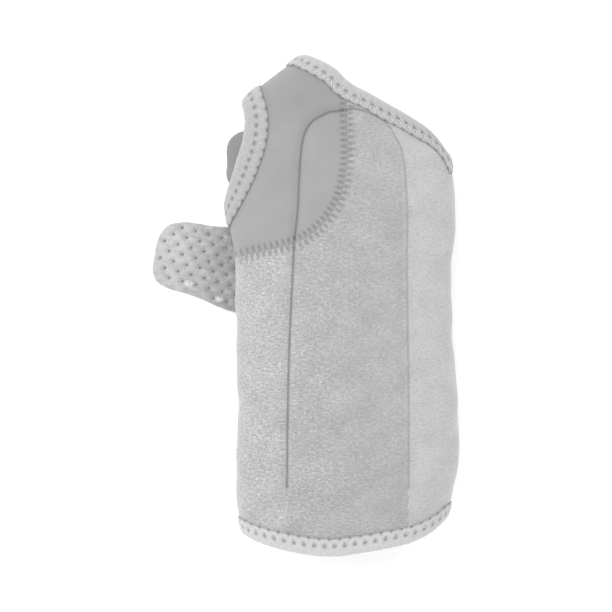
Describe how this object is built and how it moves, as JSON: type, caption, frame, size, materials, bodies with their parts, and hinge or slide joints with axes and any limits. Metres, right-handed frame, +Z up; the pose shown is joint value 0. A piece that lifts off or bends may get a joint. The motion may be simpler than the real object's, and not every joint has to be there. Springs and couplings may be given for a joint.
{
  "type": "wrist brace",
  "caption": "Long padded wrist brace: a flattened hollow sleeve with bound edges, a thumb hole in one fold, a raised stay pocket and two straps under it.",
  "frame": {"origin": "under the middle of the brace's overall box, on the surface that it lies on", "axes": "+Y along the sleeve from the forearm hem to the hand edge, +X from the thumb side to the other fold, +Z up through the near side with the stay pocket"},
  "size_m": [0.137, 0.2208, 0.048],
  "materials": {
    "loop_pile": "brushed unbroken-loop pile on foam",
    "smooth_knit": "smooth fine knit on foam",
    "binding_tape": "ribbed folded stretch tape",
    "pierced_foam": "pierced foam faced with knit"
  },
  "bodies": {
    "root": {"loop_sleeve": "loop_pile", "thumb_panel": "smooth_knit", "hem_binding": "binding_tape", "hand_binding": "binding_tape", "thumb_binding": "binding_tape", "wrist_strap": "pierced_foam", "hand_strap": "smooth_knit"}
  },
  "joints": []
}
